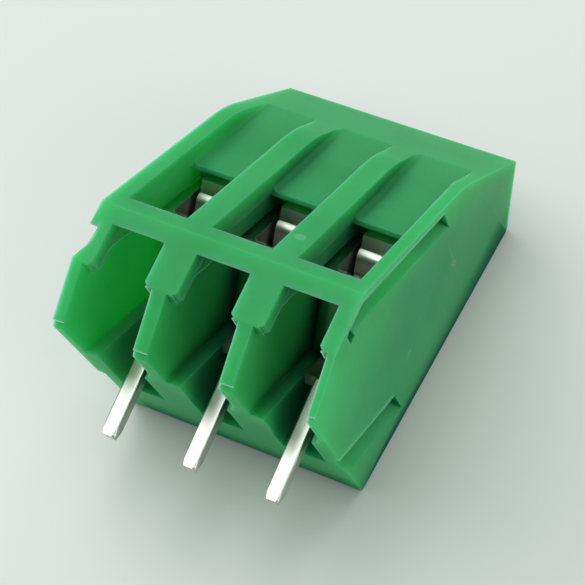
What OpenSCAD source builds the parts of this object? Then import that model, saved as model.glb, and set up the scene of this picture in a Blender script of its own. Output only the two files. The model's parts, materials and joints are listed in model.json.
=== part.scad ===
// Three-pole screw terminal for a printed circuit board, with sloping wire entries.
// The board's top face is Z = 0, the wires enter from -Y and above, and the poles lie
// side by side along X. The origin is on the board face, on the axis of the middle solder pin.

/* [Poles] */
// Distance between neighbouring poles
pole_pitch = 5.08; // [5:0.02:5.6]
// Extra thickness of the left end wall
end_extra = 0.22; // [0.1:0.02:0.3]

/* [Housing outline] */
// Reach of the sloping face's front edge, forward of the pin row
nose_reach = 8.4; // [8:0.1:9]
// Height of the sloping face's front edge above the board
nose_h = 7.1; // [6.8:0.05:7.6]
// Reach of the front frame's lowest edge, forward of the pin row
chin_reach = 8.7; // [8.5:0.1:9.4]
// Height of the front frame's lowest edge above the board
chin_h = 3.5; // [3.2:0.1:3.9]
// Reach of the foot of the thin walls, forward of the pin row
toe_reach = 7.45; // [6.8:0.05:7.9]
// Reach of the heel, behind the pin row
heel_reach = 7.1; // [6.6:0.1:7.8]
// Tilt of the sloping face, from the board
slope_angle = 47; // [45:0.5:48]
// Length of the sloping face
slope_len = 14.3; // [13.5:0.1:15]
// Tilt of the upper face that the guide channels run out into
crown_angle = 32; // [29:0.5:34]
// Length of the upper face
crown_len = 10.2; // [9.5:0.1:11]
// Fall of the end face that the screwdriver enters
rear_angle = 31; // [28:0.5:36]
// Length of the end face that the screwdriver enters
rear_len = 5.55; // [5.4:0.05:6.2]
// Rounding of the ridge between the sloping face and the upper face
ridge_r = 12; // [8:0.5:14]
// Rounding of the heel
heel_r = 0.5; // [0.3:0.1:0.8]
// Rounding of the other outline corners
corner_r = 0.2; // [0.1:0.05:0.3]

/* [Front frame] */
// Height of the bar across the front, along the front face
bar_h = 1.1; // [0.9:0.05:1.3]
// Width of the bar across the front, along the sloping face
bar_w = 1.2; // [0.9:0.05:1.4]
// Depth of the bar's rear edge below the sloping face
bar_depth = 1.2; // [0.9:0.05:1.4]
// Thickness of the front frame
frame_t = 1.2; // [1:0.1:1.5]
// Width of each opening between the front posts
front_gap = 3.14; // [2.9:0.02:3.3]
// Bevel on the foot of each post
post_bevel = 0.22; // [0.1:0.02:0.3]
// Thickness of the thin wall between two poles
wall_t = 0.85; // [0.75:0.05:1]
// Bevel at the foot of each thin wall's front edge
toe_bevel = 0.55; // [0.3:0.05:0.7]

/* [Wire guides] */
// Width of each guide channel
guide_w = 3.56; // [3.3:0.02:3.6]
// Depth of each guide channel below the sloping face, at its front end
guide_depth = 1.35; // [0.9:0.05:1.4]
// Tilt by which each channel's floor rises toward its far end
guide_rise = 1; // [0.5:0.1:1.5]
// Rounding between a channel's floor and its sides
guide_r = 0.3; // [0.1:0.05:0.4]
// Set-back of a wire entry's sides behind the channel's sides
entry_step = 0.1; // [0.02:0.01:0.14]
// Distance from the front edge to the far end of each wire entry
entry_end = 8.8; // [8.4:0.05:8.9]
// Thickness of the channel's floor at the far end of each wire entry
roof_edge = 0.3; // [0.2:0.05:0.4]

/* [Clamp chamber] */
// Depth of the chamber's roof below the sloping face
roof_depth = 2.75; // [2.4:0.05:2.8]
// Height of the clamp's cage across its wire opening
cage_h = 5.1; // [5:0.05:5.5]
// Clearance between the cage and the chamber, all round
cage_gap = 0.12; // [0.08:0.01:0.15]
// Travel of the cage from open to closed
cage_travel = 2.4; // [2:0.1:2.5]
// Width of the slot that each pin passes through
slot_w = 2.6; // [2.5:0.05:2.8]
// Reach of the pin slot behind the pin row
slot_reach = 2; // [1.8:0.1:2.4]
// Extra width of the pin slot's mouth, on its right side
flare_w = 0.56; // [0.3:0.02:0.6]
// Reach of the slot's wide mouth, forward of the pin row
flare_reach = 2.2; // [1.9:0.1:2.5]

/* [Clamp cage] */
// Distance from the front edge to the cage's outer end when open
cage_start = 5; // [4.8:0.05:5.2]
// Thickness of the cage's jaw
jaw_t = 0.8; // [0.7:0.05:0.9]
// Thickness of the cage's side walls
cage_wall = 0.64; // [0.6:0.02:0.76]
// Height of the opening for the wire, from the jaw to the contact's bead
wire_gap = 2.6; // [2.45:0.05:2.7]
// Thickness of the cage's threaded collar
collar_t = 1.8; // [1.6:0.05:1.9]
// Outer rounding of the cage's jaw end
cage_r = 1.1; // [0.8:0.05:1.2]

/* [Screw] */
// Nominal thread diameter
thread_d = 2.5; // [2.3:0.1:3.1]
// Radial clearance of the thread in the collar
thread_gap = 0.06; // [0.03:0.01:0.09]
// Screw head diameter
head_d = 3.9; // [3.8:0.05:3.95]
// Screw head height
head_h = 2.3; // [2:0.1:2.6]
// Width of the driver slot
driver_slot_w = 0.7; // [0.5:0.05:0.8]
// Depth of the driver slot
driver_slot_depth = 1.2; // [1:0.1:1.4]
// Bevel on the screw's point
point_bevel = 0.5; // [0.3:0.05:0.6]
// Bevel around the screw's head
head_bevel = 0.25; // [0.1:0.05:0.4]
// Diameter of the driver's access hole, which is narrower than the head and keeps the screw in
access_d = 3.4; // [3:0.1:3.4]
// Extra radius of the chamber that the head turns in
head_room = 0.1; // [0.05:0.01:0.14]

/* [Contact and pin] */
// Thickness of the contact strip and its pin
strip_t = 0.9; // [0.8:0.02:0.95]
// Width of the contact strip
strip_w = 2.32; // [2.2:0.02:2.36]
// Rise of the bead that bites on the wire
bead_rise = 0.7; // [0.5:0.05:0.8]
// Distance from the strip's free end to the middle of the bead
bead_place = 1; // [0.8:0.05:1.5]
// Rounding of the bead
bead_r = 0.6; // [0.4:0.05:0.7]
// Rise of the strip's free end above the chamber's roof
strip_rise = 0.7; // [0.4:0.05:0.75]
// Width of the solder pin
pin_w = 0.9; // [0.8:0.02:1.1]
// Length of the solder pin below the board face
pin_len = 3.4; // [3:0.1:4.5]
// Length of the pin's tapered tip
pin_taper = 0.75; // [0.4:0.05:1]
// Width of the pin's tip
pin_tip_w = 0.55; // [0.4:0.05:0.7]

/* [Right end] */
// Depth of the joining grooves and recesses in both end faces
groove_cut = 0.48; // [0.3:0.02:0.55]
// Strip left between the sloping face and the upper groove
groove_lip = 0.5; // [0.4:0.05:0.6]
// Width of the upper groove
groove_w = 1.45; // [1.2:0.05:1.5]
// Width of the upper groove's flat floor
groove_floor = 0.95; // [0.7:0.05:1.1]
// Distance of the upper groove behind the front face
groove_front = 0.45; // [0.3:0.05:0.6]
// Height of the upper groove's far end above the board
groove_top = 15; // [14:0.1:16]
// Depth of the lower groove's near edge below the sloping face
gutter_depth = 11.1; // [10.6:0.1:11.2]
// Width of the lower groove
gutter_w = 1.85; // [1.6:0.05:2]
// Width of the lower groove's flat floor
gutter_floor = 1.1; // [0.8:0.05:1.3]
// Height of the lower groove's upper end above the board
gutter_top = 5.6; // [5:0.1:6.5]
// Height of the small pocket's floor above the board
pocket_z = 4.7; // [4.5:0.05:4.8]
// Height of the small pocket
pocket_h = 0.5; // [0.3:0.05:0.6]
// Length of the small pocket
pocket_len = 1.2; // [1:0.1:1.8]
// Depth of the small pocket into the end face, which leaves some of the thin wall
pocket_cut = 0.28; // [0.2:0.02:0.32]

/* [Left end] */
// Thickness of the joining tongue along the sloping face
tongue_t = 0.95; // [0.8:0.05:1.1]
// Width of the recess under the tongue
recess_w = 1.25; // [1:0.05:1.4]
// Width of the flat floor of the recess under the tongue
recess_floor = 0.7; // [0.5:0.05:0.9]
// Height of the recess's far end above the board
recess_top = 16; // [15:0.1:16.5]
// Depth below the sloping face at which the lower recess starts
foot_depth = 11.7; // [11.4:0.1:12.2]
// Height of the lower recess above the board
foot_top = 5.6; // [5:0.1:6.5]

/* [Hidden] */
$fn = 48;
eps = 0.01;
past = 3; // how far cutting shapes reach past the surface

plastic = [0.29, 0.67, 0.42];
tin = [0.78, 0.79, 0.76];
steel = [0.7, 0.71, 0.7];

poles = 3;
pole_x = [for (i = [0 : poles - 1]) (i - (poles - 1) / 2) * pole_pitch];
body_w = poles * pole_pitch;

// Point of the Y-Z section, from a distance up the slope and a depth below it
function slope_pt(s, depth) = [
    -nose_reach + s * cos(slope_angle) + depth * sin(slope_angle),
    nose_h + s * sin(slope_angle) - depth * cos(slope_angle)];

// Distance up the slope of a line at one depth, where it meets a height or a reach
function slope_at_z(z, depth) = (z - nose_h + depth * cos(slope_angle)) / sin(slope_angle);
function slope_at_y(y, depth) = (y + nose_reach - depth * sin(slope_angle)) / cos(slope_angle);

// Point of the Y-Z section, from a distance down the front face and a depth behind it
front_lean = atan((chin_reach - nose_reach) / (nose_h - chin_h));
front_len = (nose_h - chin_h) / cos(front_lean);
function front_pt(d, depth) = [
    -nose_reach - d * sin(front_lean) + depth * cos(front_lean),
    nose_h - d * cos(front_lean) - depth * sin(front_lean)];

// Distance of a point behind the front face
function behind_front(p) =
    (p[0] + nose_reach) * cos(front_lean) - (p[1] - nose_h) * sin(front_lean);

// Depth of the guide channel's floor at a distance up the slope
function guide_floor(s) = guide_depth - (s - bar_w) * tan(guide_rise);

// Where the line at one depth below the slope meets the line at one depth behind the front
function inner_corner(roof, behind) =
    let (turn = slope_angle - front_lean)
    front_pt((roof - behind * sin(turn)) / cos(turn), behind);

// Outline corners
nose = [-nose_reach, nose_h];
ridge = slope_pt(slope_len, 0);
peak = ridge + crown_len * [cos(crown_angle), sin(crown_angle)];
shoulder = peak + rear_len * [cos(rear_angle), -sin(rear_angle)];
heel = [heel_reach, 0];
toe = [-toe_reach, 0];
chin = [-chin_reach, chin_h];
bar_rear = slope_pt(bar_w, bar_depth);

// Arc of points that rounds corner b of the path a-b-c
function arc_corner(a, b, c, r, steps = 5) =
    let (
        u = (a - b) / norm(a - b),
        v = (c - b) / norm(c - b),
        half = acos(u * v) / 2,
        centre = b + r / sin(half) * (u + v) / norm(u + v),
        from = b + r / tan(half) * u - centre,
        turn = (from[0] * v[1] - from[1] * v[0] > 0 ? 1 : -1) * (180 - 2 * half))
    [for (i = [0 : steps])
        let (t = turn * i / steps)
        centre + [from[0] * cos(t) - from[1] * sin(t), from[0] * sin(t) + from[1] * cos(t)]];

function rounded_path(points, radii) = [
    for (i = [0 : len(points) - 1])
        let (n = len(points))
        each arc_corner(points[(i + n - 1) % n], points[i], points[(i + 1) % n], radii[i])];

// Clamp sizes that follow from the chamber
chamber_w = pole_pitch - wall_t;
cage_w = chamber_w - 2 * cage_gap;
cage_top = roof_depth + cage_gap;
shelf_depth = cage_top + cage_h + cage_gap + strip_t / 2;
axis_depth = cage_top + cage_h / 2;
strip_s = cage_start + jaw_t + wire_gap + bead_rise;
strip_gap = 0.08; // around the contact strip, in the housing
tip_gap = 0.02; // from the strip to the screw's tip
collar_gap = 0.37; // from the strip to the open cage's collar
stop_gap = 0.2; // from the closed cage to the chamber's end, and from the head to its own
head_seat_gap = 0.1; // under the screw's head
leg_gap = 0.1; // from the open cage to the contact's leg
leg_play = 0.03; // under the contact's leg
tip_s = strip_s + strip_t + tip_gap;
collar_s = strip_s + strip_t + collar_gap;
cage_end = collar_s + collar_t;
chamber_end = cage_end + cage_travel + stop_gap;
head_s = chamber_end + head_seat_gap;
head_chamber_end = head_s + head_h + stop_gap;
head_r = head_d / 2;
access_r = access_d / 2;
leg_depth = cage_top + cage_h + leg_gap;
strip_top = roof_depth - strip_rise;
entry_w = guide_w + 2 * entry_step;

// Places children in the frame of the sloping face: X stays, Y runs up the slope,
// and Z points out of it
module on_slope(x = 0, s = 0, depth = 0) {
    translate([x, -nose_reach, nose_h])
        rotate([slope_angle, 0, 0])
            translate([0, s, -depth])
                children();
}

// Extrudes a Y-Z section along X
module across(width, x = 0) {
    translate([x, 0, 0])
        rotate([90, 0, 90])
            linear_extrude(width, center = true)
                children();
}

// Cylinder whose axis runs up the slope
module slope_rod(r, from_s, to_s) {
    translate([0, from_s, -axis_depth])
        rotate([-90, 0, 0])
            cylinder(r = r, h = to_s - from_s);
}

// Rectangle with round corners, from a low corner, as squares and circles
module round_rect(low, size, r) {
    translate(low + [r, 0])
        square([size[0] - 2 * r, size[1]]);
    translate(low + [0, r])
        square([size[0], size[1] - 2 * r]);
    for (u = [r, size[0] - r], v = [r, size[1] - r])
        translate(low + [u, v])
            circle(r);
}

// ---- Housing ----

module housing_block() {
    outline = [nose, ridge, peak, shoulder, heel, toe, chin];
    radii = [corner_r, ridge_r, corner_r, corner_r, heel_r, corner_r, corner_r];
    across(body_w + end_extra, -end_extra / 2)
        polygon(rounded_path(outline, radii));
}

// Guide channel down the slope, which runs out where the upper face falls below its floor
module guide_channel() {
    run = slope_len + crown_len - bar_w;
    translate([0, bar_w, -guide_depth])
        rotate([guide_rise, 0, 0])
            translate([0, run, 0])
                rotate([90, 0, 0])
                    linear_extrude(run) {
                        round_rect([-guide_w / 2, 0], [guide_w, guide_depth * 2], guide_r);
                        translate([-guide_w / 2, guide_depth])
                            square([guide_w, past]);
                    }
}

// Wire entry: the window from the channel's floor into the chamber, a little wider
// than the channel, so that the channel's sides end in a lip
module wire_entry() {
    entry_len = entry_end - bar_w;
    translate([-entry_w / 2, bar_w, -roof_depth - eps])
        cube([entry_w, entry_len, roof_depth - guide_depth + eps]);
    translate([-guide_w / 2, bar_w, -guide_depth - eps])
        cube([guide_w, entry_len, guide_r + entry_len * tan(guide_rise) + eps]);
}

// Pocket in the chamber's roof that holds the contact's free end, under a thin edge
module strip_pocket() {
    reach = strip_s + strip_t + strip_gap;
    across(entry_w)
        polygon([
            slope_pt(entry_end - eps, guide_floor(entry_end) + roof_edge),
            slope_pt(reach, strip_top - strip_gap),
            slope_pt(reach, roof_depth + eps),
            slope_pt(entry_end - eps, roof_depth + eps)]);
}

// Room under the bar, which joins the wire entry to the chamber
module under_bar() {
    from = front_pt(bar_h, 0);
    across(entry_w)
        polygon([
            from + (bar_rear - from) * frame_t / behind_front(bar_rear),
            bar_rear,
            slope_pt(bar_w + eps, bar_depth),
            slope_pt(bar_w + eps, roof_depth + eps),
            inner_corner(roof_depth + eps, frame_t)]);
}

// Chamber that the cage slides in, open below and to the front, between the posts
module chamber() {
    floor_s = slope_at_z(-past, shelf_depth);
    across(chamber_w)
        polygon([
            inner_corner(roof_depth, frame_t),
            slope_pt(chamber_end, roof_depth),
            slope_pt(chamber_end, shelf_depth),
            slope_pt(floor_s, shelf_depth),
            [-chin_reach - past, -past],
            [-chin_reach - past, chin_h],
            front_pt(front_len, frame_t)]);
}

// Opening between two posts, up to the bar
module front_opening() {
    across(front_gap)
        polygon([
            front_pt(bar_h, -past),
            front_pt(bar_h, 0),
            bar_rear,
            front_pt(front_len + past, frame_t + eps),
            front_pt(front_len + past, -past)]);
}

// Bevels on the two post feet beside an opening
module post_bevels() {
    for (side = [-1, 1])
        translate([side * front_gap / 2, -chin_reach - past, chin_h])
            rotate([-90, 0, 0])
                linear_extrude(past * 2)
                    rotate(45)
                        square(post_bevel * sqrt(2), center = true);
}

// Slot that the pin and the contact's leg pass through
module pin_slot() {
    across(slot_w)
        polygon([
            [-chin_reach / 2, -past],
            [slot_reach, -past],
            [slot_reach, slope_pt(slope_at_y(slot_reach, shelf_depth), shelf_depth)[1] + eps],
            [-chin_reach / 2, slope_pt(slope_at_y(-chin_reach / 2, shelf_depth), roof_depth)[1]]]);
}

// Wide mouth on the right side of the pin slot, up to the chamber's floor
module slot_flare() {
    floor_z = slope_pt(slope_at_y(-flare_reach, shelf_depth), shelf_depth)[1];
    translate([0, 0, -past])
        linear_extrude(past + floor_z + eps)
            polygon([
                [0, -chin_reach / 2],
                [slot_w / 2 + flare_w, -chin_reach / 2],
                [slot_w / 2 + flare_w, -flare_reach - flare_w],
                [slot_w / 2, -flare_reach],
                [0, -flare_reach]]);
}

// Groove in the chamber's floor that the contact's leg lies in
module leg_groove() {
    w = strip_w + 2 * strip_gap;
    from_s = slope_at_y(slot_reach, leg_depth) - strip_t;
    to_s = strip_s + strip_t + strip_gap;
    translate([-w / 2, from_s, -leg_depth - strip_t - leg_play])
        cube([w, to_s - from_s, strip_t * 2]);
}

module screw_bores() {
    far = slope_len + crown_len + rear_len;
    slope_rod(head_r + head_room, chamber_end - eps, head_chamber_end);
    slope_rod(access_r, head_chamber_end - eps, far);
}

module pole_cuts(x) {
    on_slope(x) {
        guide_channel();
        wire_entry();
        leg_groove();
        screw_bores();
    }
    translate([x, 0, 0]) {
        strip_pocket();
        under_bar();
        chamber();
        front_opening();
        post_bevels();
        pin_slot();
        slot_flare();
    }
}

// Groove along the slope in the right end face, or the left one when side is -1. Its floor
// is flat and then ramps up to the face, and the Y-Z outline given as a child ends it.
module end_groove(side, depth, width, floor_w) {
    face = side * body_w / 2 - (side < 0 ? end_extra : 0);
    intersection() {
        on_slope(face, -chin_reach, depth)
            rotate([-90, 0, 0])
                linear_extrude(chin_reach + slope_len + crown_len)
                    polygon([
                        [side * past, 0],
                        [-side * groove_cut, 0],
                        [-side * groove_cut, floor_w],
                        [0, width],
                        [side * past, width]]);
        across(past, face)
            children();
    }
}

// Y-Z outline of everything below a height, from a distance behind the front face
module below(top, behind) {
    low = -past;
    polygon([
        [front_pt(nose_h - low, behind)[0], low],
        [front_pt(nose_h - top, behind)[0], top],
        [shoulder[0], top],
        [shoulder[0], low]]);
}

module end_grooves() {
    end_groove(1, groove_lip, groove_w, groove_floor)
        below(groove_top, groove_front);
    end_groove(1, gutter_depth, gutter_w, gutter_floor)
        below(gutter_top, groove_front);
    end_groove(-1, tongue_t, recess_w, recess_floor)
        below(recess_top, -past);
    end_groove(-1, foot_depth, slope_len, slope_len)
        below(foot_top, -past);
    // small pocket below the front end of the upper groove
    across(2 * pocket_cut, body_w / 2)
        translate([front_pt(nose_h - pocket_z, groove_front)[0], pocket_z])
            square([pocket_len, pocket_h]);
}

// Bevel across the foot of the thin walls
module toe_cut() {
    translate([0, -toe_reach, 0])
        rotate([45 - atan((chin_reach - toe_reach) / chin_h) / 2, 0, 0])
            cube([body_w + past, toe_bevel, toe_bevel], center = true);
}

module housing() {
    color(plastic)
        difference() {
            housing_block();
            for (x = pole_x)
                pole_cuts(x);
            end_grooves();
            toe_cut();
        }
}

// ---- Contact strip with its solder pin ----

module contact_strip() {
    leg_to = leg_depth + strip_t;
    // the upright part, which the wire is pressed against
    translate([-strip_w / 2, strip_s, -leg_to])
        cube([strip_w, strip_t, leg_to - strip_top]);
    // the round bead across its free end
    bead_low = [strip_s - bead_rise, -strip_top - 2 * bead_place];
    rotate([90, 0, 90])
        linear_extrude(strip_w, center = true)
            round_rect(bead_low, [bead_rise + strip_t, 2 * bead_place], bead_r);
}

module contact_leg() {
    leg_to = leg_depth + strip_t;
    across(strip_w)
        polygon([
            slope_pt(strip_s + strip_t, leg_depth),
            slope_pt(strip_s + strip_t, leg_to),
            slope_pt(slope_at_y(strip_t / 2, leg_to), leg_to),
            slope_pt(slope_at_y(-strip_t / 2, leg_depth), leg_depth)]);
}

module solder_pin() {
    top = slope_pt(slope_at_y(-strip_t / 2, leg_depth), leg_depth)[1];
    translate([0, strip_t / 2, 0])
        rotate([90, 0, 0])
            linear_extrude(strip_t)
                polygon([
                    [-pin_w / 2, top],
                    [-pin_w / 2, -pin_len + pin_taper],
                    [-pin_tip_w / 2, -pin_len],
                    [pin_tip_w / 2, -pin_len],
                    [pin_w / 2, -pin_len + pin_taper],
                    [pin_w / 2, top]]);
}

module contact(i) {
    color(tin) {
        on_slope(pole_x[i])
            contact_strip();
        translate([pole_x[i], 0, 0]) {
            contact_leg();
            intersection() {
                solder_pin();
                across(pin_w)
                    polygon([
                        [-strip_t / 2, -pin_len],
                        [strip_t / 2, -pin_len],
                        slope_pt(slope_at_y(strip_t / 2, leg_depth), leg_depth),
                        slope_pt(slope_at_y(-strip_t / 2, leg_depth), leg_depth)]);
            }
        }
    }
}

// ---- Rising cage ----

module cage(i) {
    hole_w = cage_w - 2 * cage_wall;
    hole_s = cage_start + jaw_t;
    color(steel)
        on_slope(pole_x[i])
            difference() {
                translate([0, 0, -cage_top - cage_h])
                    linear_extrude(cage_h)
                        difference() {
                            union() {
                                round_rect([-cage_w / 2, cage_start],
                                    [cage_w, cage_end - cage_start], cage_r);
                                translate([-cage_w / 2, collar_s])
                                    square([cage_w, collar_t]);
                            }
                            round_rect([-hole_w / 2, hole_s],
                                [hole_w, collar_s - hole_s], cage_r - cage_wall);
                        }
                // the thread's hole, which reaches as far down as the tip does in the raised cage
                slope_rod(thread_d / 2 + thread_gap, tip_s - cage_travel - stop_gap, cage_end + past);
            }
}

// ---- Clamping screw ----

module screw(i) {
    core = thread_d / 2;
    color(steel)
        on_slope(pole_x[i])
            difference() {
                translate([0, tip_s, -axis_depth])
                    rotate([-90, 0, 0])
                        rotate_extrude()
                            polygon([
                                [0, 0],
                                [core - point_bevel, 0],
                                [core, point_bevel],
                                [core, head_s - tip_s],
                                [head_r, head_s - tip_s],
                                [head_r, head_s - tip_s + head_h - head_bevel],
                                [head_r - head_bevel, head_s - tip_s + head_h],
                                [0, head_s - tip_s + head_h]]);
                translate([-head_r - eps, head_s + head_h - driver_slot_depth,
                        -axis_depth - driver_slot_w / 2])
                    cube([head_d + 2 * eps, driver_slot_depth + eps, driver_slot_w]);
            }
}

housing();
contact(0);  // contact_1
contact(1);  // contact_2
contact(2);  // contact_3
cage(0);  // cage_1
cage(1);  // cage_2
cage(2);  // cage_3
screw(0);  // screw_1
screw(1);  // screw_2
screw(2);  // screw_3
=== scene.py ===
# %% [markdown]
# # A three-pole screw terminal, dressed
#
# The terminal's construction comes ready made: its housing, contacts, cages and screws are
# loaded as fixed pieces at their real size. This notebook gives them their looks. Each step
# says what the thing is on the real terminal, how it could be made, and why this way.
# Everything is in metres, with +Z away from the circuit board and the wire entries at -Y.

# %% Load the frame
import json
import math

import bmesh
import bpy
from mathutils import Matrix, Vector


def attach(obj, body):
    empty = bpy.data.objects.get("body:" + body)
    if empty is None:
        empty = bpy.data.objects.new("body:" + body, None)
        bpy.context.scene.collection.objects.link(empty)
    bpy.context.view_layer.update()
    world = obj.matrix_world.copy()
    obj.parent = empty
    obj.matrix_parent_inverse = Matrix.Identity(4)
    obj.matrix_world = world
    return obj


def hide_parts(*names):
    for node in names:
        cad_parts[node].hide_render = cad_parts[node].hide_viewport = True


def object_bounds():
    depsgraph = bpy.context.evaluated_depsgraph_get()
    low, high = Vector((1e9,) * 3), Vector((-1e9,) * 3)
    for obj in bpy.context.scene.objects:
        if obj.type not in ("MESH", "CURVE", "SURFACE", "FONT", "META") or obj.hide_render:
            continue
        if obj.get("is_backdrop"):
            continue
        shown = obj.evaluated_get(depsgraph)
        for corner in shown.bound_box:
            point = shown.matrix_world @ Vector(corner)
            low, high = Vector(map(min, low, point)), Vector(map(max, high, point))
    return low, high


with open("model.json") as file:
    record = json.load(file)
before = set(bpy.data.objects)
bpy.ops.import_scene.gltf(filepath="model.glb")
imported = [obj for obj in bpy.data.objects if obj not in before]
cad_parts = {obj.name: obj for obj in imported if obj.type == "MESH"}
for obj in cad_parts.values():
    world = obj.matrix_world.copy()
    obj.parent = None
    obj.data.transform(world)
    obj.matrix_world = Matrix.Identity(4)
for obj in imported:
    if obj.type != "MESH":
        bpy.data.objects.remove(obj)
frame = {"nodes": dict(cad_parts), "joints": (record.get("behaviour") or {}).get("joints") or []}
MM = 0.001
nodes = frame["nodes"]
poles = sorted(name.split("_")[1] for name in nodes if name.startswith("contact_"))


def corners(box):
    """A box as plain lists of numbers."""
    return [list(corner) for corner in box]


def size_in_mm(box):
    """The three sizes of a box, for printing."""
    return [round((high - low) / MM, 2) for low, high in zip(*box)]


cad_box = corners(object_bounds())
print("poles:", poles, "size in mm:", size_in_mm(cad_box))

# %% [markdown]
# ## The slope
#
# Wires enter along one sloping direction, and the cages and screws lie along it too. The
# slope could be typed as an angle, but the joints of the clamp already state it. So it is
# read from them, and it stays right when the terminal is made steeper.

# %% Read the slope from the clamp's joints
joints = {joint["name"]: joint for joint in frame["joints"]}
UP_SLOPE = Vector(joints["cage_lift_1"]["axis"]).normalized()
OUT_OF_SLOPE = Vector((0, -UP_SLOPE.z, UP_SLOPE.y))
SIDEWAYS = Vector((1, 0, 0))
print("slope in degrees:", round(math.degrees(math.asin(UP_SLOPE.z)), 2))


def slope_place(point):
    """How far up the slope a point lies, and how far out of the slope."""
    return point.dot(UP_SLOPE), point.dot(OUT_OF_SLOPE)


# %% [markdown]
# ## The plane of the table
#
# Off its board the terminal can't stand on its pins, so it lies on its long flat back. The
# table is the plane that touches the housing along its shoulder and its heel. It could be
# placed by a typed angle, but then it would part from the housing as soon as a size changed.

# %% Find the plane that the terminal lies on
SHOULDER_DEPTH = 5 * MM
outline = [vertex.co for vertex in nodes["housing"].data.vertices]
shoulder = max(outline, key=lambda point: point.y)
below = [point for point in outline if point.z < shoulder.z - SHOULDER_DEPTH]
heel = max(below, key=lambda point: (point.y - shoulder.y) / (shoulder.z - point.z))
TABLE_AHEAD = Vector((0, shoulder.y - heel.y, shoulder.z - heel.z)).normalized()
TABLE_UP = SIDEWAYS.cross(TABLE_AHEAD)
tilt = math.degrees(math.atan2(TABLE_AHEAD.z, TABLE_AHEAD.y))
print("table tilt in degrees:", round(tilt, 1))

# %% Places over the table
centre = (Vector(cad_box[0]) + Vector(cad_box[1])) / 2
centre_height = (centre - Vector((0, heel.y, heel.z))).dot(TABLE_UP)
print("the terminal's centre is", round(centre_height / MM, 2), "mm over the table")


def table_point(side, ahead, height):
    """A point from its distances across, along and above the table, seen from the terminal."""
    foot = centre - TABLE_UP * centre_height
    return foot + SIDEWAYS * side + TABLE_AHEAD * ahead + TABLE_UP * height


# %% [markdown]
# ## The camera
#
# The camera looks down on the terminal from the front right. It is set like a tripod on the
# table: how far round it stands, how high, how far away, and how much it is rolled. These
# four numbers are easier to change one at a time than the nine of a rotation matrix.

# %% The directions of the view
VIEW_TURN = math.radians(29.8)
VIEW_HEIGHT = math.radians(51.5)
VIEW_ROLL = math.radians(-4.3)

level_ahead = -SIDEWAYS * math.sin(VIEW_TURN) + TABLE_AHEAD * math.cos(VIEW_TURN)
forward = level_ahead * math.cos(VIEW_HEIGHT) - TABLE_UP * math.sin(VIEW_HEIGHT)
level_right = forward.cross(TABLE_UP).normalized()
level_up = level_right.cross(forward)
right = level_right * math.cos(VIEW_ROLL) + level_up * math.sin(VIEW_ROLL)
view_turn = Matrix((right, right.cross(forward), -forward)).transposed().to_4x4()
print("the camera looks along", [round(part, 2) for part in forward])

# %% Set up the camera
VIEW_DISTANCE = 115.6 * MM
VIEW_AIM = Vector((0.26, 0.3, -1.02)) * MM
LENS = 123.4

camera = bpy.data.objects.new("camera", bpy.data.cameras.new("camera"))
bpy.context.scene.collection.objects.link(camera)
camera_place = centre + VIEW_AIM - forward * VIEW_DISTANCE
camera.matrix_world = Matrix.Translation(camera_place) @ view_turn
camera.data.lens = LENS
camera.data.clip_start = 5 * MM
bpy.context.scene.camera = camera
print("camera at, in mm:", [round(part / MM, 1) for part in camera_place])

# %% [markdown]
# ## Shader sums written as sums
#
# A finish is a tree of small nodes. Placing each Math node by hand hides the sum that it
# stands for. Here a small class wraps a node's socket, so that `1 - mask * 0.5` adds its
# nodes by itself. The larger of two masks is written `one | other`, which reads as "or".

# %% A socket that can be calculated with
class Wire:
    """An output socket of a finish, which Python's operators add Math nodes to."""

    def __init__(self, finish, socket):
        self.finish = finish
        self.socket = socket

    def maths(self, operation, first, second):
        """One Math node on two values, of which one is this wire."""
        return self.finish.add("Math", {"operation": operation}, {0: first, 1: second})

    def __add__(self, other):
        return self.maths("ADD", self, other)

    def __sub__(self, other):
        return self.maths("SUBTRACT", self, other)

    def __rsub__(self, other):
        return self.maths("SUBTRACT", other, self)

    def __mul__(self, other):
        return self.maths("MULTIPLY", self, other)

    def __or__(self, other):
        return self.maths("MAXIMUM", self, other)

    __radd__ = __add__
    __rmul__ = __mul__

    def between(self, low, high):
        """0 below low, 1 above high, and a smooth rise between them."""
        settings = {"interpolation_type": "SMOOTHSTEP"}
        inputs = {"Value": self, "From Min": low, "From Max": high}
        return self.finish.add("MapRange", settings, inputs)


# %% [markdown]
# ## A finish, and one way to add a node
#
# Every other node has settings, such as a noise's kind, and sockets that take a value or a
# link. Both could be set line by line, but one method that takes them as two lists keeps
# each node of a finish on a line or two.

# %% One material with its nodes
class Finish:
    """One material with its node tree."""

    def __init__(self, name):
        self.material = bpy.data.materials.new(name)
        self.material.use_nodes = True
        self.tree = self.material.node_tree
        self.tree.nodes.clear()

    def add(self, kind, settings=None, inputs=None, out=0):
        """Adds a node: first its settings, then the values or links of its sockets."""
        node = self.tree.nodes.new("ShaderNode" + kind)
        for key, value in (settings or {}).items():
            setattr(node, key, value)
        for key, value in (inputs or {}).items():
            if isinstance(value, Wire):
                self.tree.links.new(value.socket, node.inputs[key])
            else:
                node.inputs[key].default_value = value
        return Wire(self, node.outputs[out])

    def close(self, shader):
        """Connects the last shader to the material's output, and gives the material."""
        output = self.tree.nodes.new("ShaderNodeOutputMaterial")
        self.tree.links.new(shader.socket, output.inputs["Surface"])
        print("finish:", self.material.name, "with", len(self.tree.nodes), "nodes")
        return self.material


# %% [markdown]
# ## What the finishes share
#
# All finishes need colours, a place on the piece, soft noise and patches. The place could
# come from an unwrapped mesh, but unwrapping these pieces leaves seams. The piece's own
# place in millimetres has none, and it moves with the piece.

# %% Colours
def colour(red, green, blue):
    """A screen colour from 0 to 255 as the linear colour that a shader takes."""
    linear = []
    for value in (red, green, blue):
        share = value / 255
        linear.append(share / 12.92 if share <= 0.04045 else ((share + 0.055) / 1.055) ** 2.4)
    return (*linear, 1)


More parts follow.
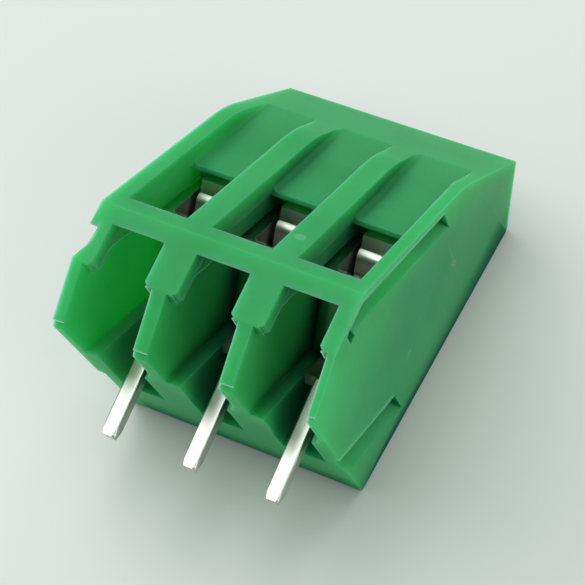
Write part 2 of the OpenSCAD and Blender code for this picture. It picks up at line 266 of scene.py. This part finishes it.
def blend_colours(finish, mask, first, second):
    """first where the mask is 0, second where it is 1."""
    return finish.add("Mix", {"data_type": "RGBA"}, {0: mask, 6: first, 7: second}, out=2)


print("a middle grey of 128 is", round(colour(128, 128, 128)[0], 3), "in linear light")


# %% Places and noise
def place(finish):
    """The surface's own place in millimetres, fixed to the piece."""
    here = finish.add("TexCoord", out="Object")
    return finish.add("VectorMath", {"operation": "SCALE"}, {0: here, "Scale": 1 / MM})


def along_line(finish, where, direction):
    """How far the surface lies along a direction, in millimetres."""
    inputs = {0: where, 1: tuple(direction)}
    return finish.add("VectorMath", {"operation": "DOT_PRODUCT"}, inputs, out="Value")


def noise(finish, where, size, detail=2, stretch=(1, 1, 1)):
    """Soft noise from 0 to 1 whose blotches are about size millimetres across."""
    settings = {"operation": "MULTIPLY"}
    longer = finish.add("VectorMath", settings, {0: where, 1: stretch})
    inputs = {"Vector": longer, "Scale": 1 / size, "Detail": detail}
    return finish.add("TexNoise", {}, inputs)


# %% Patches and fine relief
def patch(finish, where, middle, reach, edge=0.4):
    """1 inside an oval of half lengths reach round middle, in millimetres, and 0 outside it."""
    offset = finish.add("VectorMath", {"operation": "SUBTRACT"}, {0: where, 1: middle})
    shares = finish.add("VectorMath", {"operation": "DIVIDE"}, {0: offset, 1: reach})
    distance = finish.add("VectorMath", {"operation": "LENGTH"}, {0: shares}, out="Value")
    return 1 - distance.between(1 - edge, 1)


def relief(finish, strength, depth, height):
    """Fine relief of a surface: height runs from 0 to 1, and depth is in millimetres."""
    inputs = {"Strength": strength, "Distance": depth * MM, "Height": height}
    return finish.add("Bump", {}, inputs)


# %% [markdown]
# ## Green moulded plastic
#
# The housing is moulded in one shot of a green, translucent plastic, so the thin end wall
# glows on its inside when light falls on its outside. A plain green surface would look like
# paint. Here light may travel some millimetres under the surface, green further than red.
# Deep in the bays the colour is painted a darker, richer green, as painted shade: a second
# green which takes over where little daylight comes in, except on the inside of the glowing
# end wall.

# %% The open green, with a slow drift of tone
plastic = Finish("housing_plastic")
spot = place(plastic)
drift = noise(plastic, spot, 6, detail=3).between(0.3, 0.7)
open_green = blend_colours(plastic, drift, colour(55, 155, 93), colour(62, 163, 100))
print("the plastic has", len(plastic.tree.nodes), "nodes so far")

# %% The painted shade: a deep green where little daylight comes in
DEEP_REACH = 4 * MM
END_WALL = (-6.6, -6.1)
daylight = plastic.add("AmbientOcclusion", {"samples": 8}, {"Distance": DEEP_REACH}, out="AO")
inside_end_wall = along_line(plastic, spot, SIDEWAYS).between(*END_WALL)
shade_mask = (1 - daylight.between(0.25, 0.8)) * inside_end_wall
# Painted shade: the colour turns a darker green where the ambient occlusion finds little daylight.
green_with_painted_shade = blend_colours(plastic, shade_mask, open_green, colour(14, 100, 62))
print("the deep green starts right of x =", END_WALL[0], "mm")

# %% [markdown]
# ## Marks on the plastic
#
# A used terminal has a few small marks: the faint disc of an ejector pin on the middle rib,
# and pale scuffs where the end wall rubbed on something. They could be painted in an image,
# but ovals broken up by noise stay sharp at any distance. They are laid over the green.

# %% The ejector's disc and the scuffs
DISC_PLACE = (2.49, -6.28, 9.38)
DISC_REACH = (0.36, 0.36, 0.36)
SCUFFS = [
    ((7.62, 5.4, 14.4), (0.3, 2.9, 0.22)),
    ((7.62, 4.56, 8.0), (0.3, 0.35, 0.5)),
    ((7.62, 5.6, 14.3), (0.3, 0.7, 0.5)),
]
ejector_disc = patch(plastic, spot, DISC_PLACE, DISC_REACH, edge=0.2)
scuffs = 0
for middle, reach in SCUFFS:
    scuffs = patch(plastic, spot, middle, reach, edge=0.9) + scuffs
scuffs = scuffs * noise(plastic, spot, 0.25, detail=4).between(0.4, 0.62)
print("marks: one disc and", len(SCUFFS), "scuffs")

# %% [markdown]
# ## The whole plastic
#
# The walls of a mould are slightly rough, so the plastic is satin and not glossy. That grain
# is far too fine to model, so it is a slight relief and an uneven roughness in the finish.
# Hidden places are duller still, so that deep in a bay no wall mirrors a lamp.

# %% Make the plastic
grain = noise(plastic, spot, 0.35, detail=4)
satin = noise(plastic, spot, 0.06, detail=2)
marks = 0.2 * ejector_disc + 0.3 * scuffs
plastic_inputs = {
    "Base Color": blend_colours(plastic, marks, green_with_painted_shade, colour(168, 206, 178)),
    "Roughness": 0.46 + 0.1 * grain + 0.3 * shade_mask,
    "Normal": relief(plastic, 0.25, 0.006, 0.6 * satin + 0.4 * grain),
    "IOR": 1.5,
    "Specular IOR Level": 0.1,
    "Subsurface Weight": 1.0,
    "Subsurface Radius": (0.35, 1.0, 0.5),
    "Subsurface Scale": 4.5 * MM,
}
plastic_material = plastic.close(plastic.add("BsdfPrincipled", {}, plastic_inputs))

# %% [markdown]
# ## Tin and plating
#
# The contacts are stamped from sheet and tinned, so they are bright, a little uneven, and
# drawn out along the pin by the press. The cages and screws are steel with a plain bright
# plating. All three are the same metal shader with other colours and another unevenness,
# so one function makes them. Clouds over a millimetre across dull the tone, and fine streaks
# make the gloss uneven. Where the punch left a lump, the metal is rougher and bumpy, and its
# colour is painted paler as a painted highlight.

# %% Make the metals
CLOUD_SIZE = 1.4
STREAK_SIZE = 0.22
LUMP_SIZE = 0.12
LUMP_AND_HIGHLIGHT_REACH = (1, 0.75, 0.75)
PAINTED_HIGHLIGHT_TONE = colour(240, 229, 216)


def plated(name, tone, roughness, unevenness, stretch, lump_and_highlight_place=None):
    """A bright plated metal with marks drawn out one way, and a rough lumpy place with a painted
    highlight if wanted.
    """
    metal = Finish(name)
    where = place(metal)
    cloud = noise(metal, where, CLOUD_SIZE, detail=3)
    streak = noise(metal, where, STREAK_SIZE, detail=4, stretch=stretch)
    dull = (*(0.86 * channel for channel in tone[:3]), 1)
    tones = blend_colours(metal, cloud.between(0.35, 0.7), tone, dull)
    rough = roughness + unevenness * streak
    height = 0.2 * streak
    if lump_and_highlight_place:
        across = metal.add("VectorMath", {"operation": "MULTIPLY"}, {0: where, 1: (0, 1, 1)})
        lump_and_highlight = patch(metal, across, lump_and_highlight_place, LUMP_AND_HIGHLIGHT_REACH, edge=0.3)
        # Painted highlight: the lump's colour is painted paler, for the light that its rough face
        # catches.
        tones = blend_colours(metal, lump_and_highlight * 0.8, tones, PAINTED_HIGHLIGHT_TONE)
        rough = rough + 0.28 * lump_and_highlight
        height = height + lump_and_highlight * noise(metal, where, LUMP_SIZE, detail=2)
    bumps = relief(metal, 0.3, 0.02, height)
    inputs = {"Base Color": tones, "Metallic": 1.0, "Roughness": rough, "Normal": bumps}
    return metal.close(metal.add("BsdfPrincipled", {}, inputs))


cage_material = plated("plated_cage", colour(196, 204, 196), 0.16, 0.08, (0.3, 1, 1))
screw_material = plated("plated_screw", colour(220, 222, 214), 0.18, 0.1, (1, 1, 1))

# %% [markdown]
# ## Edges
#
# Moulded and stamped pieces have no sharp edges: each one is rounded by a twentieth of a
# millimetre or so, and that round is what catches the light. Rounding in the shader would be
# cheaper, but it stays flat in outline, so a narrow bevel is cut along the real edges.
# One width for all edges would be held down to that of the smallest step. So each edge gets
# the share of the width that its neighbours leave room for, and a very narrow face none.

# %% How much of a bevel an edge has room for
ROOM = 2.3


def face_width(face):
    """About how wide a face is across its narrow way."""
    return 2 * face.calc_area() / face.calc_perimeter()


def edge_share(edge, width):
    """The share of a bevel's width that an edge's faces and neighbours leave room for."""
    if min(face_width(face) for face in edge.link_faces) < 2 * ROOM * width:
        return 0
    around = [other for end in edge.verts for other in end.link_edges if other is not edge]
    return min(1, min(other.calc_length() for other in around) / (ROOM * width))


# %% Mark the edges of a piece that get rounded
EDGE = math.radians(28)
LEAST_SHARE = 0.2


def mark_edges(sheet, width):
    """Gives each real edge its share of the bevel, and counts those that get one."""
    shares = sheet.edges.layers.float.new("bevel_weight_edge")
    rounded = 0
    for edge in sheet.edges:
        if edge.calc_face_angle(0) > EDGE:
            share = edge_share(edge, width)
            edge.smooth = share > LEAST_SHARE
            edge[shares] = share if edge.smooth else 0
            rounded += edge.smooth
    return rounded


# %% [markdown]
# ## A rounded copy of a piece
#
# The loaded pieces are triangles. Bevelled as they are, every seam between two triangles
# would get in the way. So each piece is copied, its flat faces are joined again, and the
# bevel is added as a modifier. The flat faces keep their own direction in the smooth shading.

# %% Join the triangles and add the bevel
FLAT = math.radians(1.5)
SAME_PLACE = 0.002 * MM
BEVEL_STEPS = 2


def joined_faces(node):
    """A loaded node's mesh, with its triangles joined to flat faces."""
    sheet = bmesh.new()
    sheet.from_mesh(nodes[node].data)
    bmesh.ops.remove_doubles(sheet, verts=sheet.verts, dist=SAME_PLACE)
    bmesh.ops.dissolve_limit(
        sheet, angle_limit=FLAT, verts=sheet.verts, edges=sheet.edges, use_dissolve_boundaries=False
    )
    return sheet


def add_bevel(piece, width):
    """Rounds the marked edges, and shades the flat faces by their own direction."""
    bevel = piece.modifiers.new("edge", "BEVEL")
    bevel.width = width
    bevel.segments = BEVEL_STEPS
    bevel.limit_method = "WEIGHT"
    bevel.use_clamp_overlap = False
    even = piece.modifiers.new("even", "WEIGHTED_NORMAL")
    even.keep_sharp = True


# %% Copy a piece with its edges rounded
def rounded_copy(name, node, width, reshape=None):
    """A copy of a loaded node with its edges rounded, which stands for that node."""
    sheet = joined_faces(node)
    if reshape:
        reshape(sheet.verts)
    rounded = mark_edges(sheet, width)
    mesh = bpy.data.meshes.new(name)
    sheet.to_mesh(mesh)
    sheet.free()
    for polygon in mesh.polygons:
        polygon.use_smooth = True
    piece = bpy.data.objects.new(name, mesh)
    bpy.context.scene.collection.objects.link(piece)
    add_bevel(piece, width)
    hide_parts(node)
    print(name, "has", rounded, "rounded edges")
    return piece


# %% [markdown]
# ## Dressing a piece
#
# A piece needs three things: the body that it moves with, the slot under which a later user
# finds its material, and the material itself. One function gives all three, so that no
# piece can miss one.

# %% Give a piece its body, slot and material
def dress(piece, body, material):
    """Gives a piece its body and its one material."""
    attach(piece, body)
    piece.data.materials.clear()
    piece.data.materials.append(material)
    print("piece:", piece.name, "on", body, "with", len(piece.data.polygons), "faces")


# %% [markdown]
# ## The housing
#
# One moulding holds everything. Its form is all in the loaded piece, so nothing is modelled
# here: it gets the small edge radius of a mould, and its plastic.

# %% Dress the housing
HOUSING_ROUND = 0.08 * MM
housing = rounded_copy("housing_shell", "housing", HOUSING_ROUND)
dress(housing, "root", plastic_material)

# %% [markdown]
# ## The contact's bead
#
# A contact is one stamped strip that ends in its solder pin. The strip has a bead pressed
# into it that bites on the wire. It is rough from the punch and gets a painted highlight, so the
# finish needs its place.
# That could be typed, but it is found instead: the bead's points lie lower than the strip's
# flat face, near its free end. The wire lies a little deeper in the bay than the loaded
# bead does, so the bead is also moved there.

# %% Find the contact's bead
BEAD_DROP = 0.8 * MM
BEAD_REGION = 2 * MM
BEAD_BLEND = 0.15 * MM
END_DEPTH = 0.05 * MM
FACE_DEPTH = 0.1 * MM

strip_places = [slope_place(vertex.co) for vertex in nodes["contact_1"].data.vertices]
strip_end = max(out for rise, out in strip_places)
strip_face = min(rise for rise, out in strip_places if out > strip_end - END_DEPTH)
bead_points = [out for rise, out in strip_places if rise < strip_face - FACE_DEPTH]
bead_out = [out for out in bead_points if out > strip_end - BEAD_REGION]
bead_middle = (min(bead_out) + max(bead_out)) / 2
bead_half = (max(bead_out) - min(bead_out)) / 2 + BEAD_BLEND
print("bead's middle in mm from the strip's end:", round((strip_end - bead_middle) / MM, 2))

# %% Move the bead to where the wire lies
ON_FACE = 0.01 * MM


def lower_bead(verts):
    """Sets the bead deeper into the bay, where the wire lies."""
    for vert in verts:
        rise, out = slope_place(vert.co)
        if abs(out - bead_middle) < bead_half and rise < strip_face + ON_FACE:
            vert.co -= OUT_OF_SLOPE * BEAD_DROP


# %% [markdown]
# ## Contacts and cages
#
# A cage is a short length of steel box section round the strip, and its far side lifts the
# wire against the bead. Strip and cage are cut from sheet, so their edges are rounded too,
# by a tenth of a millimetre or less. Each could be dressed by hand, but all poles are alike,
# so one loop does it.

# %% Dress the contacts and the cages
CONTACT_ROUND = 0.1 * MM
CAGE_ROUND = 0.07 * MM
bead_place = tuple((UP_SLOPE * strip_face + OUT_OF_SLOPE * (bead_middle - BEAD_DROP)) / MM)
tin_tone = colour(214, 216, 207)
tin_material = plated("tinned_strip", tin_tone, 0.24, 0.14, (1, 1, 0.2), lump_and_highlight_place=bead_place)
for pole in poles:
    strip = rounded_copy("contact_strip_" + pole, "contact_" + pole, CONTACT_ROUND, lower_bead)
    dress(strip, "root", tin_material)
    cage = rounded_copy("cage_box_" + pole, "cage_" + pole, CAGE_ROUND)
    dress(cage, "clamp_cage_" + pole, cage_material)

# %% [markdown]
# ## The screw's sizes
#
# Each pole has a small machine screw. The loaded one is plain, and a thread is what shows
# when the part is opened up. The new one could be drawn to typed sizes, but it has to fit
# where the plain one did. So its sizes are measured there, each point by its height over the
# seat of the head. The thread's pitch follows from the joints, because one turn of the screw
# lifts the cage by one pitch.

# %% Measure the plain screw
screw_axis = -Vector(joints["screw_turn_1"]["axis"]).normalized()
SLOT_SIDE = screw_axis.cross(SIDEWAYS)
seat = Vector(joints["screw_turn_1"]["pos_m"])


def on_screw(point):
    """A point's height over the seat, how far off the axis it is, and how far off the slot."""
    offset = point - seat
    height = offset.dot(screw_axis)
    return height, (offset - screw_axis * height).length, abs(offset.dot(SLOT_SIDE))


spread = [on_screw(vertex.co) for vertex in nodes["screw_1"].data.vertices]
TIP = min(height for height, radius, off_slot in spread)
TOP = max(height for height, radius, off_slot in spread)
HEAD_R = max(radius for height, radius, off_slot in spread)
THREAD_R = max(radius for height, radius, off_slot in spread if height < TIP / 2)
print("screw in mm: tip", round(TIP / MM, 2), "top", round(TOP / MM, 2))

# %% Measure its head and its pitch
LEVEL = 0.01 * MM
on_top = [(radius, off_slot) for height, radius, off_slot in spread if height > TOP - LEVEL]
HEAD_RIM = HEAD_R - max(radius for radius, off_slot in on_top)
SLOT_W = 2 * min(off_slot for radius, off_slot in on_top)
in_slot = [height for height, radius, off_slot in spread if off_slot < SLOT_W / 2 + LEVEL]
SLOT_FLOOR = min(height for height in in_slot if height > LEVEL)
turns = joints["screw_turn_1"]["range_deg"][1] / 360
THREAD_PITCH = joints["cage_lift_1"]["range_m"][1] / turns
print("slot in mm: width", round(SLOT_W / MM, 2), "depth", round((TOP - SLOT_FLOOR) / MM, 2))
print("rim in mm:", round(HEAD_RIM / MM, 2), "thread pitch in mm:", round(THREAD_PITCH / MM, 3))

# %% [markdown]
# ## The threaded shaft
#
# A thread is a ridge that winds round the shaft. It could be a separate coil laid on a rod,
# but then its valleys are too shallow and the meshes cross. Here the shaft is one grid of
# points whose radius follows the thread's own formula: a vee with a flat root and a flat
# crest, cut back to a cone at the tip.

# %% The thread's formula
THREAD_DEPTH = 0.55 * THREAD_PITCH
ROOT_FLAT = 0.1
FLANK = 1.25
TIP_BEVEL = 0.45 * MM


def thread_radius(height, turn):
    """Radius of the shaft at a height and a share of a turn."""
    phase = (height / THREAD_PITCH - turn) % 1
    ridge = 1 - abs(2 * phase - 1)
    crest = THREAD_R - THREAD_DEPTH * (1 - min(1, max(0, ridge * FLANK - ROOT_FLAT)))
    cone = THREAD_R - TIP_BEVEL + max(0, height - TIP)
    return min(crest, cone)


print("thread in mm: radius", round(THREAD_R / MM, 2), "depth", round(THREAD_DEPTH / MM, 2))


# %% The shaft as rings of points
THREAD_ROUND = 40
THREAD_STEPS = 8
INTO_HEAD = 0.1 * MM


def ring(sheet, radii, height):
    """A closed ring of points round the axis, from its radii at equal steps of a turn."""
    points = []
    for step, radius in enumerate(radii):
        angle = 2 * math.pi * step / len(radii)
        points.append(sheet.verts.new((radius * math.cos(angle), radius * math.sin(angle), height)))
    return points


def skin(sheet, rings):
    """Faces between each closed ring and the next, and one over each end."""
    for under, over in zip(rings, rings[1:]):
        for step in range(len(under)):
            after = (step + 1) % len(under)
            sheet.faces.new((under[step], under[after], over[after], over[step]))
    sheet.faces.new(list(reversed(rings[0])))
    sheet.faces.new(rings[-1])


def shaft_mesh(sheet):
    """Adds the shaft, from the tip to just inside the head."""
    length = INTO_HEAD - TIP
    rows = int(length / THREAD_PITCH * THREAD_STEPS)
    rings = []
    for row in range(rows + 1):
        height = TIP + length * row / rows
        radii = [thread_radius(height, step / THREAD_ROUND) for step in range(THREAD_ROUND)]
        rings.append(ring(sheet, radii, height))
    skin(sheet, rings)


# %% [markdown]
# ## The slotted head
#
# The head is a flat cylinder with a small bevel and a slot for the driver. The slot could be
# cut out with a boolean, which leaves thin faces along it. It is simpler to build the head
# in three closed pieces: a disc up to the slot's floor, and a half on each side of the slot.

# %% Build the head
HALF_STEPS = 24
DISC_STEPS = 48


def half_outline(radius, side):
    """One half of a circle, beside the slot, from one end of the slot to the other."""
    start = math.asin(SLOT_W / 2 / HEAD_R)
    angles = [start + (math.pi - 2 * start) * step / HALF_STEPS for step in range(HALF_STEPS + 1)]
    across = [max(radius * math.sin(angle), SLOT_W / 2) for angle in angles]
    return [(radius * math.cos(angle), side * off) for angle, off in zip(angles, across)]


def head_mesh(sheet):
    """Adds the head's disc and its two halves."""
    skin(sheet, [ring(sheet, [HEAD_R] * DISC_STEPS, height) for height in (0, SLOT_FLOOR)])
    for side in (-1, 1):
        wide = half_outline(HEAD_R, side)
        narrow = half_outline(HEAD_R - HEAD_RIM, side)
        levels = [(wide, SLOT_FLOOR), (wide, TOP - HEAD_RIM), (narrow, TOP)]
        skin(sheet, [[sheet.verts.new((*point, z)) for point in half] for half, z in levels])


# %% [markdown]
# ## One screw on each pole
#
# The screw is built upright at the origin, where its sums are simple, and then turned onto
# the slope and moved to its joint. Its joint is also what turns it, so it rides on the
# screw's own body.

# %% Place the screws
screw_turn = Matrix((SIDEWAYS, SLOT_SIDE, screw_axis)).transposed().to_4x4()


def screw_piece(pole):
    """A threaded screw that stands for the plain one of a pole."""
    name = "threaded_screw_" + pole
    sheet = bmesh.new()
    shaft_mesh(sheet)
    head_mesh(sheet)
    bmesh.ops.recalc_face_normals(sheet, faces=sheet.faces)
    origin = Vector(joints["screw_turn_" + pole]["pos_m"])
    sheet.transform(Matrix.Translation(origin) @ screw_turn)
    mesh = bpy.data.meshes.new(name)
    sheet.to_mesh(mesh)
    sheet.free()
    mesh.set_sharp_from_angle(angle=EDGE)
    piece = bpy.data.objects.new(name, mesh)
    bpy.context.scene.collection.objects.link(piece)
    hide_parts("screw_" + pole)
    return piece


for pole in poles:
    dress(screw_piece(pole), "clamp_screw_" + pole, screw_material)

# %% [markdown]
# ## Table and background
#
# The table is a pale, faintly shiny sheet that runs on far behind the terminal, so that no
# horizon shows. A curved backdrop would do the same, but the terminal is seen from so high
# that the flat table fills the view. Its tone is painted slowly paler to the left and the back,
# by a share per millimetre, as painted light falling off from that side. Seen from below it
# lets the view through, and it lets lamps behind it light the terminal's back, so the terminal
# can be looked at from any side.

# %% Make the table's finish
FADE_AHEAD = 0.012
FADE_SIDE = 0.018

table_finish = Finish("pale_table")
table_place = place(table_finish)
ahead_mm = along_line(table_finish, table_place, TABLE_AHEAD)
side_mm = along_line(table_finish, table_place, SIDEWAYS)
# Painted light: the table is painted paler to the left and the back, as the light's fall-off from
# that side.
painted_light_falloff = (FADE_AHEAD * ahead_mm - FADE_SIDE * side_mm + 0.5).between(0, 1)
table_tone = blend_colours(table_finish, painted_light_falloff, colour(207, 214, 209), colour(226, 229, 226))
table_inputs = {"Base Color": table_tone, "Roughness": 0.28, "Specular IOR Level": 0.35}
table_shader = table_finish.add("BsdfPrincipled", {}, table_inputs)
seen_from_below = table_finish.add("NewGeometry", out="Backfacing")
from_a_lamp = table_finish.add("LightPath", out="Is Shadow Ray")
clear = table_finish.add("BsdfTransparent")
sides = {0: seen_from_below | from_a_lamp, 1: table_shader, 2: clear}
table_material = table_finish.close(table_finish.add("MixShader", {}, sides))

# %% Lay the table under the terminal
TABLE_HALF = 600 * MM
TABLE_GAP = 0.02 * MM

table_mesh = bpy.data.meshes.new("table")
quarters = [(-1, -1), (1, -1), (1, 1), (-1, 1)]
table_corners = [table_point(TABLE_HALF * x, TABLE_HALF * y, -TABLE_GAP) for x, y in quarters]
table_mesh.from_pydata(table_corners, [], [(0, 1, 2, 3)])
table = bpy.data.objects.new("table", table_mesh)
bpy.context.scene.collection.objects.link(table)
table.data.materials.append(table_material)
table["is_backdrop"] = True
print("the table is", round(2 * TABLE_HALF / MM), "mm wide")

# %% [markdown]
# ## Light
#
# The light is that of a small white tent: one broad soft lamp overhead and to the left, a
# weaker one at the right, and an even pale surround. One hard lamp would burn out the tinned
# pins and leave the wire bays black.

# %% Set up the lamps
def soft_lamp(name, side, ahead, height, size, power):
    """A square lamp over the table that faces the terminal, in millimetres and watts."""
    data = bpy.data.lights.new(name, "AREA")
    data.size = size * MM
    data.energy = power
    lamp = bpy.data.objects.new(name, data)
    bpy.context.scene.collection.objects.link(lamp)
    lamp.location = table_point(side * MM, ahead * MM, height * MM)
    lamp.rotation_euler = (centre - lamp.location).to_track_quat("-Z", "Y").to_euler()
    print("lamp:", name, "of", power, "W")


soft_lamp("overhead", side=-90, ahead=5, height=270, size=320, power=0.63)
soft_lamp("right_fill", side=220, ahead=-60, height=120, size=160, power=0.12)

# %% Set up the surround
SURROUND_LEVEL = 0.55
world = bpy.data.worlds.new("surround")
bpy.context.scene.world = world
world.use_nodes = True
surround = world.node_tree.nodes["Background"]
surround.inputs["Color"].default_value = colour(225, 231, 228)
surround.inputs["Strength"].default_value = SURROUND_LEVEL
bpy.context.scene.view_settings.view_transform = "Standard"
print("surround at", SURROUND_LEVEL)

# %% [markdown]
# ## Sizes and the end
#
# The looks must not change the terminal's size. The box of the dressed pieces is kept beside
# that of the loaded ones, so that the two can be compared.

# %% Write the sizes and finish
visual_box = corners(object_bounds())
print("size with looks, in mm:", size_in_mm(visual_box))
